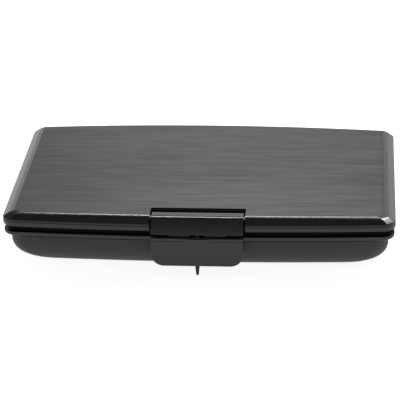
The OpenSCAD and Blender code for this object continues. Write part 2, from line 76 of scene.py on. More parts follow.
# Lid and base. A name in IN, OUT or RING is an inset from the plan outline.
FOOT_H = low("base_shell")[2]
RIM_LOW = low("base_rim")[2]
RIM_HIGH = high("base_rim")[2]
RIM_IN = HALF_W - high("base_rim")[0]
LID_LOW = low("lid_frame")[2]
PLATE_LOW = low("lid_plate")[2]
PLATE_TOP = high("lid_plate")[2]
PLATE_CROWN = 1.2 * MM
PLATE_T = 1.2 * MM
BEVEL_X = 7.7 * MM
BEVEL_Y = 5.9 * MM
PLATE_EDGE = 0.3 * MM
CLIP_LOW = (7 * MM, 9 * MM)  # the plate's clipped corners, front and rear, at its lower edge
CLIP_TOP = (5 * MM, 1.5 * MM)  # and at its flat top
CLIP_SOFT = (0.9 * MM, 0.6 * MM)
CLIP_AIR = 0.3 * MM
LID_CEILING = 48.2 * MM
TUB_IN = HALF_W - high("base_shell")[0]
WALL = 2.4 * MM
TUB_R = 22 * MM
TUB_CORNER = 15 * MM
TUB_CORNER_LOW = 30 * MM
RIM_RING = 8 * MM
SEAL_OUT = 4.5 * MM
SEAL_IN = 7 * MM
SEAL_SEAT = RIM_HIGH - 1.4 * MM

# The latch. A name in X is a range on the right side, which the left side mirrors.
LATCH_HALF = high("latch_pad")[0]
LATCH_Y = -low("latch_pad")[1]
PAD_LOW = low("latch_pad")[2]
PAD_HIGH = 35.6 * MM
PAD_T = 3.1 * MM
FLAP_Y = -low("latch_flap")[1]
FLAP_LOW = low("latch_flap")[2]
FLAP_T = 1.8 * MM
NOTCH_HALF = LATCH_HALF + 1.5 * MM
NOTCH_BACK = -91 * MM
FLAP_AXIS = middle("flap_pin")
PIN_Y = middle("lock_pin")[1]
TUB_WALL_Y = TUB_IN - FRONT
STANDOFF_X = (25 * MM, 37 * MM)
STANDOFF_Z = (18 * MM, 28 * MM)
STANDOFF_IN = 5 * MM
TONGUE_X = (6.5 * MM, 24 * MM)
TONGUE_LOW = 27.6 * MM
TONGUE_Y = -FRONT - 0.2 * MM
TONGUE_T = 0.9 * MM
WINDOW_X = (9 * MM, 20 * MM)
WINDOW_Z = (38.9 * MM, 40.4 * MM)
BARB_X = (9.5 * MM, 19.5 * MM)
BARB_Z = (39.3 * MM, 40 * MM)

# Hinges, screws and their bosses.
HINGES = [middle("hinge_left_pin"), middle("hinge_right_pin")]
LEAF_HALF = 18 * MM
LEAF_T = 1.6 * MM
LEAF_FRONT = low("hinge_left_base_leaf")[1]
BARREL_R = 3.4 * MM
HINGE_PIN_R = 1.3 * MM
AIR = 0.35 * MM  # the gap round a moving barrel, and between the tray and the tub
SCREW_R = 1.2 * MM
HEAD_R = 2.3 * MM
HEAD_H = 1.2 * MM
PAN_R = 2.5 * MM
LEAF_SCREW_X = 12 * MM  # how far a leaf's screws stand from its middle
BOSS_R = 3.2 * MM
LEAF_BOSS_R = 2.7 * MM


# ---- plan outlines ----

def bow(x, inset):
    """How far the bowed front or rear side stands from the X axis at x."""
    return CORNER_Y + SIDE_BOW * (1 - (x / HALF_W) ** 2) - inset


def round_corner(ix, iy, r, steps):
    """The right rear corner of an outline inset by ix and iy: an arc that runs on into the bowed side."""
    cx = HALF_W - ix - r
    lean = math.atan(2 * SIDE_BOW * cx / HALF_W ** 2)
    px = cx + r * math.sin(lean)
    cy = bow(px, iy) - r * math.cos(lean)
    turns = [i * (math.pi / 2 - lean) / steps for i in range(steps + 1)]
    return [(cx + r * math.cos(a), cy + r * math.sin(a)) for a in turns]


def clip_corner(ix, iy, clip):
    """The same corner cut off at 45 degrees."""
    x = HALF_W - ix
    y = bow(x - clip, iy)
    return [(x, y - clip), (x - clip, y)]


def outline(front_corner, rear_corner, iy, steps):
    """A closed outline, counter-clockwise from above. Both corners are given as if at the right rear."""
    reach = min(front_corner[-1][0], rear_corner[-1][0])
    xs = [reach * (1 - 2 * i / steps) for i in range(1, steps)]
    side = [(x, bow(x, iy)) for x in xs]

    def half(corner):
        return corner + side + [(-x, y) for x, y in reversed(corner)]

    return half(rear_corner) + [(x, -y) for x, y in reversed(half(front_corner))]


def round_outline(inset, r):
    corner = round_corner(inset, inset, r, 12)
    return outline(corner, corner, inset, 40)


def rim_outline(inset, r=RIM_R):
    return round_outline(inset, max(r - inset, 1.5 * MM))


def plate_outline(ix, iy, clips):
    """The plate's outline, with the size of the 45 degree clips of its front and rear corners."""
    return outline(*[clip_corner(ix, iy, clip) for clip in clips], iy, 44)


def lifted(points, z, crown=0.0):
    """An outline at a height, which falls off towards its left and right ends by the crown."""
    return [Vector((x, y, z - crown * (x / HALF_W) ** 2)) for x, y in points]


# ---- mesh helpers ----

def new_object(name, data):
    obj = bpy.data.objects.new(name, data)
    bpy.context.scene.collection.objects.link(obj)
    return obj


def from_bmesh(name, bm):
    bmesh.ops.recalc_face_normals(bm, faces=bm.faces)
    mesh = bpy.data.meshes.new(name)
    bm.to_mesh(mesh)
    bm.free()
    return new_object(name, mesh)


def cap(bm, ring):
    """Closes a mirrored outline with strips that join its rear side to its front side."""
    n = len(ring)
    for i in range(n // 2 - 1):
        bm.faces.new([ring[i], ring[i + 1], ring[n - 2 - i], ring[n - 1 - i]])


def loft(name, rings, closed=False):
    """A solid through rings of equal length: closed end to end, or with its first and last ring capped."""
    bm = bmesh.new()
    made = [[bm.verts.new(p) for p in ring] for ring in rings]
    pairs = list(zip(made, made[1:]))
    if closed:
        pairs.append((made[-1], made[0]))
    for a, b in pairs:
        for i in range(len(a)):
            j = (i + 1) % len(a)
            bm.faces.new([a[i], a[j], b[j], b[i]])
    if not closed:
        cap(bm, made[0])
        cap(bm, made[-1])
    return from_bmesh(name, bm)


def prism(name, points, axis, start, end):
    """A flat outline swept along one axis. The points are the other two coordinates, in X, Y, Z order."""
    order = {"x": (2, 0, 1), "y": (0, 2, 1), "z": (0, 1, 2)}[axis]
    bm = bmesh.new()
    rings = []
    for level in (start, end):
        flat = [(p[0], p[1], level) for p in points]
        rings.append([bm.verts.new([v[k] for k in order]) for v in flat])
    n = len(points)
    for i in range(n):
        j = (i + 1) % n
        bm.faces.new([rings[0][i], rings[0][j], rings[1][j], rings[1][i]])
    bm.faces.new(rings[0])
    bm.faces.new(list(reversed(rings[1])))
    return from_bmesh(name, bm)


def block(x, y, z):
    """A box between two values on each axis, used as a cutter or joined to another solid."""
    return prism("block", [(x[0], y[0]), (x[1], y[0]), (x[1], y[1]), (x[0], y[1])], "z", *z)


ON_AXIS = 0.0001 * MM


def turned(name, profile, steps=48):
    """A solid of revolution about Z from (radius, height) points that end on the axis or close as a ring."""
    bm = bmesh.new()
    rings = []
    for r, z in profile:
        if r < ON_AXIS:
            rings.append([bm.verts.new((0, 0, z))])
        else:
            angles = [2 * math.pi * i / steps for i in range(steps)]
            rings.append([bm.verts.new((r * math.cos(a), r * math.sin(a), z)) for a in angles])
    pairs = list(zip(rings, rings[1:]))
    if len(rings[0]) > 1 and len(rings[-1]) > 1:
        pairs.append((rings[-1], rings[0]))
    for a, b in pairs:
        for i in range(steps):
            j = (i + 1) % steps
            corners = [a[i % len(a)], a[j % len(a)], b[j % len(b)], b[i % len(b)]]
            bm.faces.new(list(dict.fromkeys(corners)))
    return from_bmesh(name, bm)


TURNS = {"x": Matrix.Rotation(math.pi / 2, 4, "Y"), "y": Matrix.Rotation(math.pi / 2, 4, "X"),
         "z": Matrix.Identity(4), "down": Matrix.Rotation(math.pi, 4, "X"),
         "inward": Matrix.Rotation(-math.pi / 2, 4, "X")}


def placed(obj, spot, turn="z"):
    """Moves an object's vertices, so that the object itself stays at the origin. The turn y points its Z axis
    to -Y, and inward points it to +Y."""
    obj.data.transform(Matrix.Translation(spot) @ TURNS[turn])
    return obj


def rod(centre, r, length, axis="x", edge=0.0, steps=48):
    """A round bar about its centre, with chamfered ends where an edge is given."""
    half = length / 2
    side = [(r, -half), (r, half)]
    if edge:
        side = [(r - edge, -half), (r, edge - half), (r, half - edge), (r - edge, half)]
    return placed(turned("rod", [(0, -half)] + side + [(0, half)], steps), centre, axis)


def boss(x, y, z_low, z_high, r):
    """An upright round bar between two heights."""
    return rod((x, y, (z_low + z_high) / 2), r, z_high - z_low, "z")


def sweep(name, points, r, sides=12):
    """A closed tube of round wire along a path, turned as little as possible from point to point."""
    bm = bmesh.new()
    rings = []
    across = None
    for i, p in enumerate(points):
        ahead = points[min(i + 1, len(points) - 1)] - points[max(i - 1, 0)]
        along = ahead.normalized()
        across = across or along.orthogonal()
        across = (across - along * across.dot(along)).normalized()
        other = along.cross(across)
        angles = [2 * math.pi * k / sides for k in range(sides)]
        rings.append([bm.verts.new(p + (across * math.cos(a) + other * math.sin(a)) * r) for a in angles])
    for a, b in zip(rings, rings[1:]):
        for k in range(sides):
            j = (k + 1) % sides
            bm.faces.new([a[k], a[j], b[j], b[k]])
    bm.faces.new(rings[0])
    bm.faces.new(rings[-1])
    return from_bmesh(name, bm)


def settle(obj):
    """Replaces an object's mesh by what its modifiers make of it."""
    graph = bpy.context.evaluated_depsgraph_get()
    mesh = bpy.data.meshes.new_from_object(obj.evaluated_get(graph))
    obj.modifiers.clear()
    obj.data = mesh
    return obj


def combine(obj, others, operation):
    for other in others:
        solid = obj.modifiers.new("solid", "BOOLEAN")
        solid.operation = operation
        solid.solver = "EXACT"
        solid.object = other
        settle(obj)
        bpy.data.objects.remove(other)
    return obj


def cut(obj, *others):
    return combine(obj, others, "DIFFERENCE")


def fuse(obj, *others):
    return combine(obj, others, "UNION")


def joined(name, parts):
    """One object from several separate solids."""
    bm = bmesh.new()
    for part in parts:
        bm.from_mesh(part.data)
        bpy.data.objects.remove(part)
    return from_bmesh(name, bm)


def ease(obj, width, angle=30, steps=3):
    """Rounds every edge that turns by more than the angle."""
    bevel = obj.modifiers.new("eased", "BEVEL")
    bevel.width = width
    bevel.segments = steps
    bevel.limit_method = "ANGLE"
    bevel.angle_limit = math.radians(angle)
    bevel.use_clamp_overlap = True
    return settle(obj)


def smooth(obj, angle=35):
    obj.data.shade_smooth()
    obj.data.set_sharp_from_angle(angle=math.radians(angle))
    weighted = obj.modifiers.new("weighted", "WEIGHTED_NORMAL")
    weighted.keep_sharp = True
    return settle(obj)


def piece(obj, name, body, slot, look, *nodes, angle=35):
    """Finishes a piece: its shading, material, body and the CAD nodes it stands for. The slot argument is not
    used.
    """
    smooth(obj, angle)
    obj.name = name
    obj.data.name = name
    obj.data.materials.clear()
    obj.data.materials.append(look)
    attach(obj, body)
    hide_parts(*nodes)
    return obj


def arc(y, z, r, start, end, steps):
    """Points of an arc between two angles in degrees."""
    angles = [math.radians(start + (end - start) * i / steps) for i in range(steps + 1)]
    return [(y + r * math.cos(a), z + r * math.sin(a)) for a in angles]


def span(side, a, b):
    """The range from a to b on the right side, or its mirror image on the left."""
    return (side * a, side * b) if side > 0 else (side * b, side * a)


def curve_point(start, corner, end, u):
    """The point at u, from 0 to 1, of a curve from start to end that the corner pulls towards itself."""
    return start * (1 - u) ** 2 + corner * 2 * u * (1 - u) + end * u ** 2


# ---- materials ----

# The sockets of a Mix node between two colours.
MIX_FACTOR = 0
MIX_FIRST = 6
MIX_SECOND = 7
MIX_RESULT = 2


def material(name, colour, roughness, metallic=0.0, **sockets):
    """A Principled material. Sockets given by name are constants on the shader itself."""
    made = bpy.data.materials.new(name)
    made.use_nodes = True
    shader = made.node_tree.nodes["Principled BSDF"]
    shader.inputs["Base Color"].default_value = (*colour, 1)
    shader.inputs["Roughness"].default_value = roughness
    shader.inputs["Metallic"].default_value = metallic
    for key, value in sockets.items():
        shader.inputs[key.replace("_", " ")].default_value = value
    return made, made.node_tree, shader


def add(tree, kind, **settings):
    node = tree.nodes.new("ShaderNode" + kind)
    for key, value in settings.items():
        setattr(node, key, value)
    return node


def stretched_noise(tree, stretch, detail, rough):
    """Noise in object coordinates, with its own frequency along each axis in cycles per metre."""
    place = add(tree, "TexCoord")
    mapping = add(tree, "Mapping")
    mapping.inputs["Scale"].default_value = stretch
    noise = add(tree, "TexNoise")
    noise.inputs["Scale"].default_value = 1.0
    noise.inputs["Detail"].default_value = detail
    noise.inputs["Roughness"].default_value = rough
    tree.links.new(place.outputs["Object"], mapping.inputs["Vector"])
    tree.links.new(mapping.outputs["Vector"], noise.inputs["Vector"])
    return noise.outputs["Fac"]


def ramp(tree, value, stops):
    """Turns a value into a grey level through stops of (place, level)."""
    node = add(tree, "ValToRGB")
    elements = node.color_ramp.elements
    for element, (place, level) in zip(elements, (stops[0], stops[-1])):
        element.position = place
        element.color = (level, level, level, 1)
    for place, level in stops[1:-1]:
        elements.new(place).color = (level, level, level, 1)
    tree.links.new(value, node.inputs["Fac"])
    return node.outputs["Color"]


def tint(tree, shader, value, dark, light):
    """Varies the base colour between two colours."""
    mix = add(tree, "Mix", data_type="RGBA")
    mix.inputs[MIX_FIRST].default_value = (*dark, 1)
    mix.inputs[MIX_SECOND].default_value = (*light, 1)
    tree.links.new(value, mix.inputs[MIX_FACTOR])
    tree.links.new(mix.outputs[MIX_RESULT], shader.inputs["Base Color"])


def roughen(tree, shader, value, least, most):
    """Varies the roughness between two values."""
    spread = add(tree, "MapRange")
    spread.inputs["To Min"].default_value = least
    spread.inputs["To Max"].default_value = most
    tree.links.new(value, spread.inputs["Value"])
    tree.links.new(spread.outputs["Result"], shader.inputs["Roughness"])


def emboss(tree, shader, value, depth, strength):
    """Raises the surface by a value, in metres at full height."""
    bump = add(tree, "Bump")
    bump.inputs["Strength"].default_value = strength
    bump.inputs["Distance"].default_value = depth
    tree.links.new(value, bump.inputs["Height"])
    tree.links.new(bump.outputs["Normal"], shader.inputs["Normal"])


GRAIN = (12, 2400)  # cycles per metre along the brushing and across it
STREAKS = ((16, 210, 0.5), (34, 620, 0.3), (3, 26, 0.2))  # the same, and how much each streak weighs
STREAK_STOPS = [(0.32, 0.0), (0.68, 1.0)]


def brushed(name, dark, light, along, roughness):
    """Anodised metal: fine grain along one axis, over streaks and soft patches that run the same way."""
    made, tree, shader = material(name, light, roughness[0], 1.0)
    order = {"x": (0, 1, 2), "y": (1, 0, 2)}[along]

    def drawn_out(lengthwise, across, detail):
        stretch = (lengthwise, across, across)
        return stretched_noise(tree, [stretch[k] for k in order], detail, 0.65)

    grain = drawn_out(*GRAIN, 3.0)
    shade = None
    for lengthwise, across, weight in STREAKS:
        layer = add(tree, "Math", operation="MULTIPLY_ADD")
        layer.inputs[1].default_value = weight
        layer.inputs[2].default_value = 0.0
        tree.links.new(ramp(tree, drawn_out(lengthwise, across, 2.0), STREAK_STOPS), layer.inputs[0])
        if shade:
            tree.links.new(shade, layer.inputs[2])
        shade = layer.outputs[0]
    tint(tree, shader, shade, dark, light)
    roughen(tree, shader, grain, *roughness)
    emboss(tree, shader, grain, 0.006 * MM, 0.5)
    return made


def moulded(name, dark, light, roughness, grain=1400, depth=0.012 * MM, **sockets):
    """A moulded or plated surface: a fine even texture in cycles per metre, and slight patches of shade."""
    made, tree, shader = material(name, light, roughness[0], 0.0, **sockets)
    fine = stretched_noise(tree, (grain, grain, grain), 2.0, 0.5)
    patches = stretched_noise(tree, (23, 31, 27), 4.0, 0.6)
    tint(tree, shader, ramp(tree, patches, [(0.3, 0.0), (0.7, 1.0)]), dark, light)
    roughen(tree, shader, patches, *roughness)
    emboss(tree, shader, fine, depth, 0.35)
    return made


def knit(name, dark, light):
    """The short brushed face of a foam sheet."""
    made, tree, shader = material(name, light, 0.9, 0.0, Sheen_Weight=0.35, Sheen_Roughness=0.5)
    fibres = stretched_noise(tree, (1900, 1900, 1900), 3.0, 0.65)
    clouds = stretched_noise(tree, (60, 60, 60), 4.0, 0.6)
    mixed = add(tree, "Math", operation="MULTIPLY")
    tree.links.new(fibres, mixed.inputs[0])
    tree.links.new(clouds, mixed.inputs[1])
    tint(tree, shader, ramp(tree, mixed.outputs[0], [(0.12, 0.0), (0.42, 1.0)]), dark, light)
    emboss(tree, shader, fibres, 0.15 * MM, 0.5)
    return made


METAL_TOP = brushed("brushed_plate", (0.0305, 0.0288, 0.0282), (0.0985, 0.0947, 0.0928), "x", (0.32, 0.44))
METAL_SIDE = brushed("polished_bevel", (0.100, 0.097, 0.096), (0.124, 0.121, 0.119), "y", (0.2, 0.27))
CASE = moulded("matt_case", (0.0118, 0.0116, 0.0118), (0.0155, 0.0152, 0.0155), (0.6, 0.68))
RIM = moulded("satin_rim", (0.0065, 0.0065, 0.0067), (0.0090, 0.0090, 0.0093), (0.36, 0.43),
              depth=0.006 * MM, Specular_IOR_Level=0.42)
GLOSS = moulded("gloss_latch", (0.0068, 0.0068, 0.0072), (0.0085, 0.0085, 0.009), (0.12, 0.17),
                depth=0.003 * MM, Specular_IOR_Level=0.85)
PAD = moulded("matt_pad", (0.0135, 0.0135, 0.0137), (0.0162, 0.0162, 0.0164), (0.55, 0.62))
# Black rubber made darker and less shiny than rubber is: partly painted shade for the deep gap between the
# lid's rim and the base's rim.
SEAL_AND_GAP_SHADE = moulded("seal_rubber", (0.002, 0.002, 0.002), (0.003, 0.003, 0.003), (0.75, 0.85),
               Specular_IOR_Level=0.12)
FOOT = moulded("foot_rubber", (0.010, 0.010, 0.010), (0.014, 0.014, 0.014), (0.7, 0.8), 900, 0.03 * MM)
TRAY = moulded("tray_plastic", (0.016, 0.016, 0.0175), (0.022, 0.022, 0.024), (0.3, 0.38), 1100, 0.01 * MM)
STEEL = moulded("plated_steel", (0.42, 0.42, 0.41), (0.52, 0.52, 0.51), (0.24, 0.34), 700, 0.004 * MM,
                Metallic=1.0)
DARK_STEEL = moulded("black_steel", (0.012, 0.012, 0.013), (0.02, 0.02, 0.021), (0.5, 0.6), 900, 0.004 * MM,
                     Specular_IOR_Level=0.2)
FOAM = knit("foam_face", (0.010, 0.0105, 0.012), (0.030, 0.031, 0.035))


# ---- base: tub, rim, seal ----

def tub_ring(t, a):
    """The outline of the tub, t inside its outer face, at angle a round its lower edge."""
    r = TUB_R - t
    inset = TUB_IN + t + r * (1 - math.sin(a))
    corner = TUB_CORNER + (TUB_CORNER_LOW - TUB_CORNER) * (1 - math.sin(a))
    return lifted(round_outline(inset, corner), FOOT_H + t + r * (1 - math.cos(a)))


def at_height(ring, z):
    return [Vector((p.x, p.y, z)) for p in ring]


def leaf_screw_xs():
    """Where the screws of both hinges stand along X."""
    return [hinge.x + side * LEAF_SCREW_X for hinge in HINGES for side in (-1, 1)]


TUB_STEPS = 14
TUB_TURNS = [i * math.pi / 2 / TUB_STEPS for i in range(TUB_STEPS + 1)]


def tub():
    """The tub's shell with a groove under its rim, its screw bosses and the blocks behind the latch pad."""
    outer = [tub_ring(0, a) for a in TUB_TURNS]
    inner = [tub_ring(WALL, a) for a in reversed(TUB_TURNS)]
    line = [(0, 2.3), (0.12, 2.1), (1.1, 2), (1.1, 1.1), (0.12, 1), (0, 0.8)]
    groove = [lifted(round_outline(TUB_IN + t * MM, TUB_CORNER), RIM_LOW - z * MM) for t, z in line]
    lip = [at_height(outer[-1], RIM_LOW), at_height(inner[0], RIM_LOW)]
    body = loft("tub", outer + groove + lip + inner)
    clear = 0.01 * MM
    for x, y in spots("feet"):
        fuse(body, boss(x, y, FOOT_H + clear, FOOT_H + 7 * MM - clear, BOSS_R))
    deck_low = low("tray_deck")[2]
    for x, y in spots("deck_screws"):
        fuse(body, boss(x, y, deck_low - 10.4 * MM, deck_low, BOSS_R - 0.1 * MM))
    for x in leaf_screw_xs():
        fuse(body, boss(x, middle("hinge_screws_base").y, RIM_LOW - 6.7 * MM, RIM_LOW, LEAF_BOSS_R))
    standoff_y = (TUB_WALL_Y + 0.1 * MM, TUB_WALL_Y + STANDOFF_IN)
    for side in (-1, 1):
        fuse(body, block(span(side, *STANDOFF_X), standoff_y, STANDOFF_Z))
    piece(body, "tub", "base", "case_plastic", CASE, "base_shell")


def tray_room():
    """The inside of the tub, less a little air, which the rows are trimmed to."""
    rings = [tub_ring(WALL + AIR, a) for a in TUB_TURNS]
    return loft("room", rings + [at_height(rings[-1], RIM_HIGH)])


def spots(node, inset=HEAD_R):
    """The four places of a node whose solids stand at the corners of a rectangle round the origin."""
    x = high(node)[0] - inset
    y = high(node)[1] - inset
    return [(i * x, j * y) for i in (-1, 1) for j in (-1, 1)]


def tub_rim():
    """The rim's closed profile runs up its outer face, down into the seal's channel and back down inside."""
    under = [(2.4, 0), (1.75, 0.12), (1.25, 0.45), (0.95, 0.95), (0.8, 1.6)]
    upper = [(0, -0.7), (0.08, -0.35), (0.28, -0.1), (0.6, 0)]
    channel = [(SEAL_OUT, RIM_HIGH), (SEAL_OUT, SEAL_SEAT), (SEAL_IN, SEAL_SEAT), (SEAL_IN, RIM_HIGH)]
    profile = [(RIM_RING, RIM_LOW)] + [(i * MM, RIM_LOW + z * MM) for i, z in under]
    profile += [(RIM_IN + i * MM, RIM_HIGH + z * MM) for i, z in upper] + channel + [(RIM_RING, RIM_HIGH)]
    body = loft("rim", [lifted(rim_outline(i), z) for i, z in profile], closed=True)
    for hinge in HINGES:
        cut(body, leaf_room(hinge, RIM_HIGH - LEAF_T, RIM_HIGH + MM),
            rod(hinge, BARREL_R + AIR, 2 * LEAF_HALF + MM))
    pin_room_r = 3 * MM
    cut(body, rod((0, PIN_Y, RIM_LOW), pin_room_r, 12 * MM, "z"))
    piece(body, "tub_rim", "base", "rim_plastic", RIM, "base_rim")


def leaf_room(hinge, z_low, z_high):
    """The room that a hinge leaf takes out of a rim."""
    gap = 0.1 * MM
    return block((hinge.x - LEAF_HALF - gap, hinge.x + LEAF_HALF + gap), (LEAF_FRONT - gap, LATCH_Y + MM),
                 (z_low, z_high))


def seal():
    """A rubber strip with a round crest, interrupted at the hinges. Its near-black colour is black rubber
    and, in part, painted shade for the deep gap between the rims.
    """
    root = low("rim_seal")[2]
    crest = high("rim_seal")[2]
    mid = (SEAL_OUT + SEAL_IN) / 2
    half = (SEAL_IN - SEAL_OUT) / 2 - 0.05 * MM
    bead = [(mid + half * math.cos(a), crest - half + half * math.sin(a))
            for a in [math.pi * i / 10 for i in range(11)]]
    profile = [(mid - half, root), (mid + half, root)] + bead
    body = loft("seal", [lifted(rim_outline(i), z) for i, z in profile], closed=True)
    for hinge in HINGES:
        cut(body, block((hinge.x - LEAF_HALF - MM, hinge.x + LEAF_HALF + MM), (90 * MM, LATCH_Y),
                        (root - MM, crest + MM)))
    piece(body, "seal", "base", "seal_rubber", SEAL_AND_GAP_SHADE, "rim_seal")


# ---- chip tray ----

ROWS = 7
ROW_PITCH = 43 * MM
ROW_Z = low("chip_row_4")[2] + 21.25 * MM  # height of the axes that the beds are round about
ROW_TOP = high("chip_row_4")[2]
ROW_OUT = 21.48 * MM
BED_R = 20.25 * MM
ROW_FRONT = low("chip_row_4")[1]
ROW_REAR = high("chip_row_4")[1]


def row_bottom(x):
    """The underside of a row from right to left: an arc cut flat where it rests."""
    floor_z = low("chip_row_4")[2]
    points = arc(x, ROW_Z, ROW_OUT, 0, -180, 60)
    return [(px, max(pz, floor_z)) for px, pz in points]


def chip_row(i):
    """A half round trough with rounded lips."""
    name = f"chip_row_{i + 1}"
    x = middle(name).x
    lip = 1.0 * MM
    bed = arc(x, ROW_Z, BED_R, 180, 360, 72)
    left = arc(x - BED_R - lip, ROW_TOP - lip, lip, 90, 0, 6)
    right = arc(x + BED_R + lip, ROW_TOP - lip, lip, 180, 90, 6)
    points = left + bed + right + [(x + ROW_OUT, ROW_TOP)] + row_bottom(x) + [(x - ROW_OUT, ROW_TOP)]
    body = prism(name, points, "y", ROW_FRONT, ROW_REAR)
    combine(body, [tray_room()], "INTERSECT")
    piece(body, f"row_bed_{i + 1}", "base", "tray_plastic", TRAY, name)


def row_end(node):
    """The plate across one end of the rows, scalloped like them below."""
    xs = [middle(f"chip_row_{i + 1}").x for i in reversed(range(ROWS))]
    under = [p for x in xs for p in row_bottom(x)]
    body = prism(node, [(-high(node)[0], ROW_TOP), (high(node)[0], ROW_TOP)] + under, "y",
                 low(node)[1], high(node)[1])
    combine(body, [tray_room()], "INTERSECT")
    piece(ease(body, 0.5 * MM, 60), node.replace("row_end", "end_plate"), "base", "tray_plastic", TRAY, node)


def deck():
    """The tray's flat surround, with a window for the rows."""
    bottom = low("tray_deck")[2]
    top = high("tray_deck")[2]
    inset = HALF_W - high("tray_deck")[0]
    body = loft("deck", [lifted(round_outline(inset, TUB_CORNER), z) for z in (bottom, top)])
    gap = 0.2 * MM
    window_x = high("row_end_front")[0] + gap
    window_y = high("row_end_rear")[1] + gap
    cut(body, block((-window_x, window_x), (-window_y, window_y), (bottom - MM, top + MM)))
    ease(body, 0.4 * MM, 50)
    for x, y in spots("deck_screws"):
        cut(body, placed(countersink(HEAD_R + 0.15 * MM), (x, y, top)))
    piece(body, "deck", "base", "tray_plastic", TRAY, "tray_deck")


# ---- screws, feet ----

def countersink(head_r):
    """The hole for a flat-headed screw whose face is at the origin."""
    deep = -4 * MM
    above = MM
    shank = [(0, deep), (SCREW_R, deep), (SCREW_R, -HEAD_H)]
    return turned("sink", shank + [(head_r, 0), (head_r, above), (0, above)])


FLAT_HEAD = [(SCREW_R, -HEAD_H), (HEAD_R - 0.05 * MM, -0.12 * MM), (HEAD_R - 0.15 * MM, 0), (0, 0)]
PAN_HEAD = [(SCREW_R, -1.1 * MM), (PAN_R, -1.1 * MM), (PAN_R, -0.45 * MM), (2.2 * MM, -0.12 * MM),
            (1.6 * MM, 0), (0, 0)]


def screw(head, length):
    """A screw with a cross recess: its head's face is at the origin and its shank runs down."""
    tip = [(0, -length), (0.5 * SCREW_R, -length), (SCREW_R, 0.8 * MM - length)]
    body = turned("screw", tip + head, 32)
    slot_w = 0.28 * MM
    slot_l = 1.15 * MM
    for x, y in ((slot_w, slot_l), (slot_l, slot_w)):
        cut(body, block((-x, x), (-y, y), (-0.8 * MM, 0.5 * MM)))
    return body


def body_of(node):
    """The moving body, or the base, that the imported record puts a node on."""
    return next(body for body, nodes in frame["record"]["behaviour"]["bodies"].items() if node in nodes)


def screws(name, node, head, length, places, turn):
    made = [placed(screw(head, length), spot, turn) for spot in places]
    piece(joined(name, made), name, body_of(node), "steel", STEEL, node)


def all_screws():
    top = high("deck_screws")[2]
    places = [(x, y, top) for x, y in spots("deck_screws")]
    screws("tray_screws", "deck_screws", FLAT_HEAD, 11 * MM, places, "z")
    foot = low("foot_screws")[2]
    places = [(x, y, foot) for x, y in spots("foot_screws", PAN_R + 0.1 * MM)]
    screws("sole_screws", "foot_screws", PAN_HEAD, 8.1 * MM, places, "down")
    for node, length, turn in (("hinge_screws_base", 9 * MM, "z"), ("hinge_screws_lid", 5.5 * MM, "down")):
        z = high(node)[2] if turn == "z" else low(node)[2]
        places = [(x, middle(node).y, z) for x in leaf_screw_xs()]
        screws(node.replace("hinge", "leaf"), node, FLAT_HEAD, length, places, turn)
    x = high("pad_screws")[0] - PAN_R
    places = [(side * x, high("pad_screws")[1], middle("pad_screws").z) for side in (-1, 1)]
    screws("mounting_screws", "pad_screws", PAN_HEAD, 11 * MM, places, "inward")


def all_feet():
    """Round rubber feet, each with a bore for its screw and a wider pocket for the screw's head."""
    r = 6.5 * MM
    bore = 1.25 * MM
    pocket = 3.2 * MM
    seat = 1.6 * MM
    profile = [(bore, seat), (pocket, seat), (pocket, 0.2 * MM), (3.4 * MM, 0), (5.5 * MM, 0),
               (5.95 * MM, 0.12 * MM), (6.25 * MM, 0.5 * MM), (r, 1.2 * MM), (r, FOOT_H), (bore, FOOT_H)]
    made = [placed(turned("foot", profile, 64), (x, y, 0)) for x, y in spots("feet", r)]
    piece(joined("soles", made), "soles", "base", "foot_rubber", FOOT, "feet")


# ---- hinges ----

def leaf(hinge, z_low, name, knuckles, gaps, head_up, *, body, node):
    """A hinge leaf with rounded corners. Knuckles and gaps are (middle, length) along X from its centre."""
    corner = 2.2 * MM
    x = LEAF_HALF
    right = arc(hinge.x + x - corner, LEAF_FRONT + corner, corner, 0, -90, 6)
    left = arc(hinge.x - x + corner, LEAF_FRONT + corner, corner, -90, -180, 6)
    points = [(hinge.x + x, hinge.y)] + right + left + [(hinge.x - x, hinge.y)]
    plate = prism(name, points, "z", z_low, z_low + LEAF_T)
    fuse(plate, *[rod((hinge.x + m, hinge.y, hinge.z), BARREL_R, length) for m, length in knuckles])
    cut(plate, *[rod((hinge.x + m, hinge.y, hinge.z), BARREL_R + AIR, length) for m, length in gaps])
    ease(plate, 0.25 * MM, 40, 2)
    cut(plate, rod(hinge, HINGE_PIN_R + 0.06 * MM, 2 * LEAF_HALF + 2 * MM))
    face = z_low + LEAF_T if head_up else z_low
    for side in (-1, 1):
        spot = (hinge.x + side * LEAF_SCREW_X, middle("hinge_screws_base").y, face)
        cut(plate, placed(countersink(HEAD_R + 0.1 * MM), spot, "z" if head_up else "down"))
    piece(plate, name, body, "steel", STEEL, node)


def all_hinges():
    """Each barrel has two knuckles of the base's leaf at its ends and one of the lid's leaf in the middle."""
    third = 2 * LEAF_HALF / 3
    play = 0.4 * MM
    spare = 4 * MM
    outer = [(s * (third + play / 4), third - play / 2) for s in (-1, 1)]
    inner = [(0, third - play)]
    between = [(0, third + play)]
    beside = [(s * (third + spare / 2), third + spare) for s in (-1, 1)]
    for side, hinge in zip(("left", "right"), HINGES):
        leaf(hinge, RIM_HIGH - LEAF_T, f"{side}_lower_leaf", outer, between, True,
             body="base", node=f"hinge_{side}_base_leaf")
        leaf(hinge, LID_LOW, f"{side}_upper_leaf", inner, beside, False,
             body="lid", node=f"hinge_{side}_lid_leaf")
        node = f"hinge_{side}_pin"
        pin = rod(hinge, HINGE_PIN_R, high(node)[0] - low(node)[0], "x", 0.3 * MM)
        piece(pin, f"{side}_pintle", "base", "steel", STEEL, node)


# ---- latch ----

def pad_scoop():
    """A cutter for the shallow hollow, a part of a wide circle, in the pad's upper edge."""
    half = 13 * MM
    depth = 0.9 * MM
    r = (half ** 2 + depth ** 2) / (2 * depth)
    return rod((0, -LATCH_Y, PAD_HIGH - depth + r), r, 3.2 * MM, "y", steps=720)


